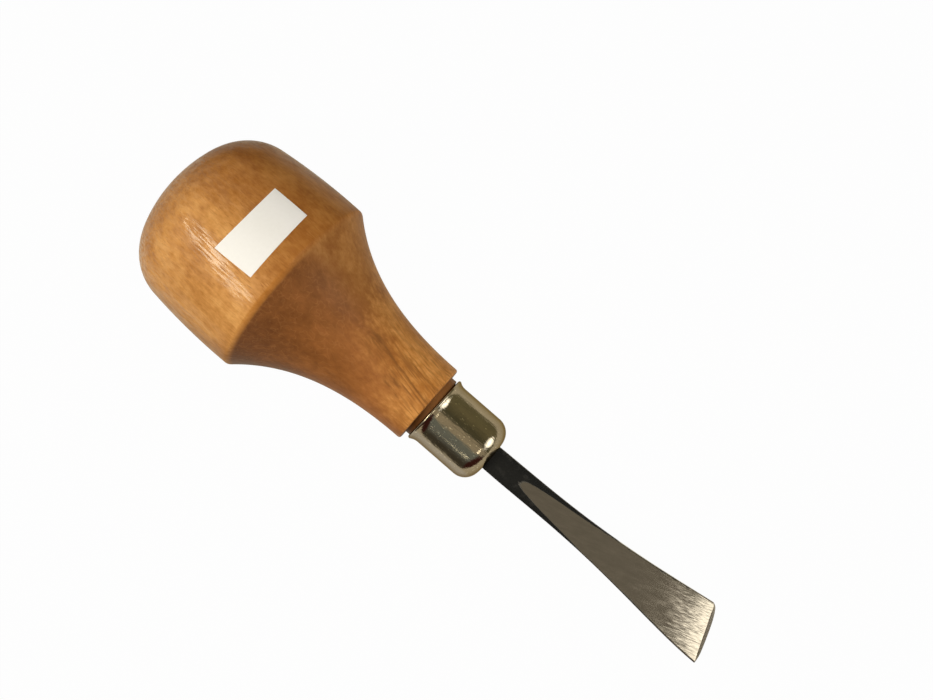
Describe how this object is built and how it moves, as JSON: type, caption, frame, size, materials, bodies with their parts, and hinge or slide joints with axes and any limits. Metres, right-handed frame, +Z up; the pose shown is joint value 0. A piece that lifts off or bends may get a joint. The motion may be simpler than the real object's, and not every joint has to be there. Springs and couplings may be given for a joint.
{
  "type": "palm skew chisel",
  "caption": "Palm carving chisel with a turned mushroom handle, plated ferrule and a flared, double ground blade with a skewed cutting edge.",
  "frame": {"origin": "centre of the bounding box's bottom face, with the tool lying at rest on the floor", "axes": "+X towards the blade's toe along the tool's length, +Y towards the heel corner's side, +Z up"},
  "size_m": [0.1294, 0.038, 0.0398],
  "materials": {
    "lacquered_wood": "clear lacquer over amber hardwood",
    "nickel_plate": "worn bright plating",
    "tool_steel": "ground faces, black forged shank",
    "bedding_resin": "cast resin",
    "label_paper": "matt coated paper"
  },
  "bodies": {
    "root": {"handle": "lacquered_wood", "ferrule": "nickel_plate", "blade": "tool_steel", "tang_bedding": "bedding_resin", "label": "label_paper"}
  },
  "joints": []
}
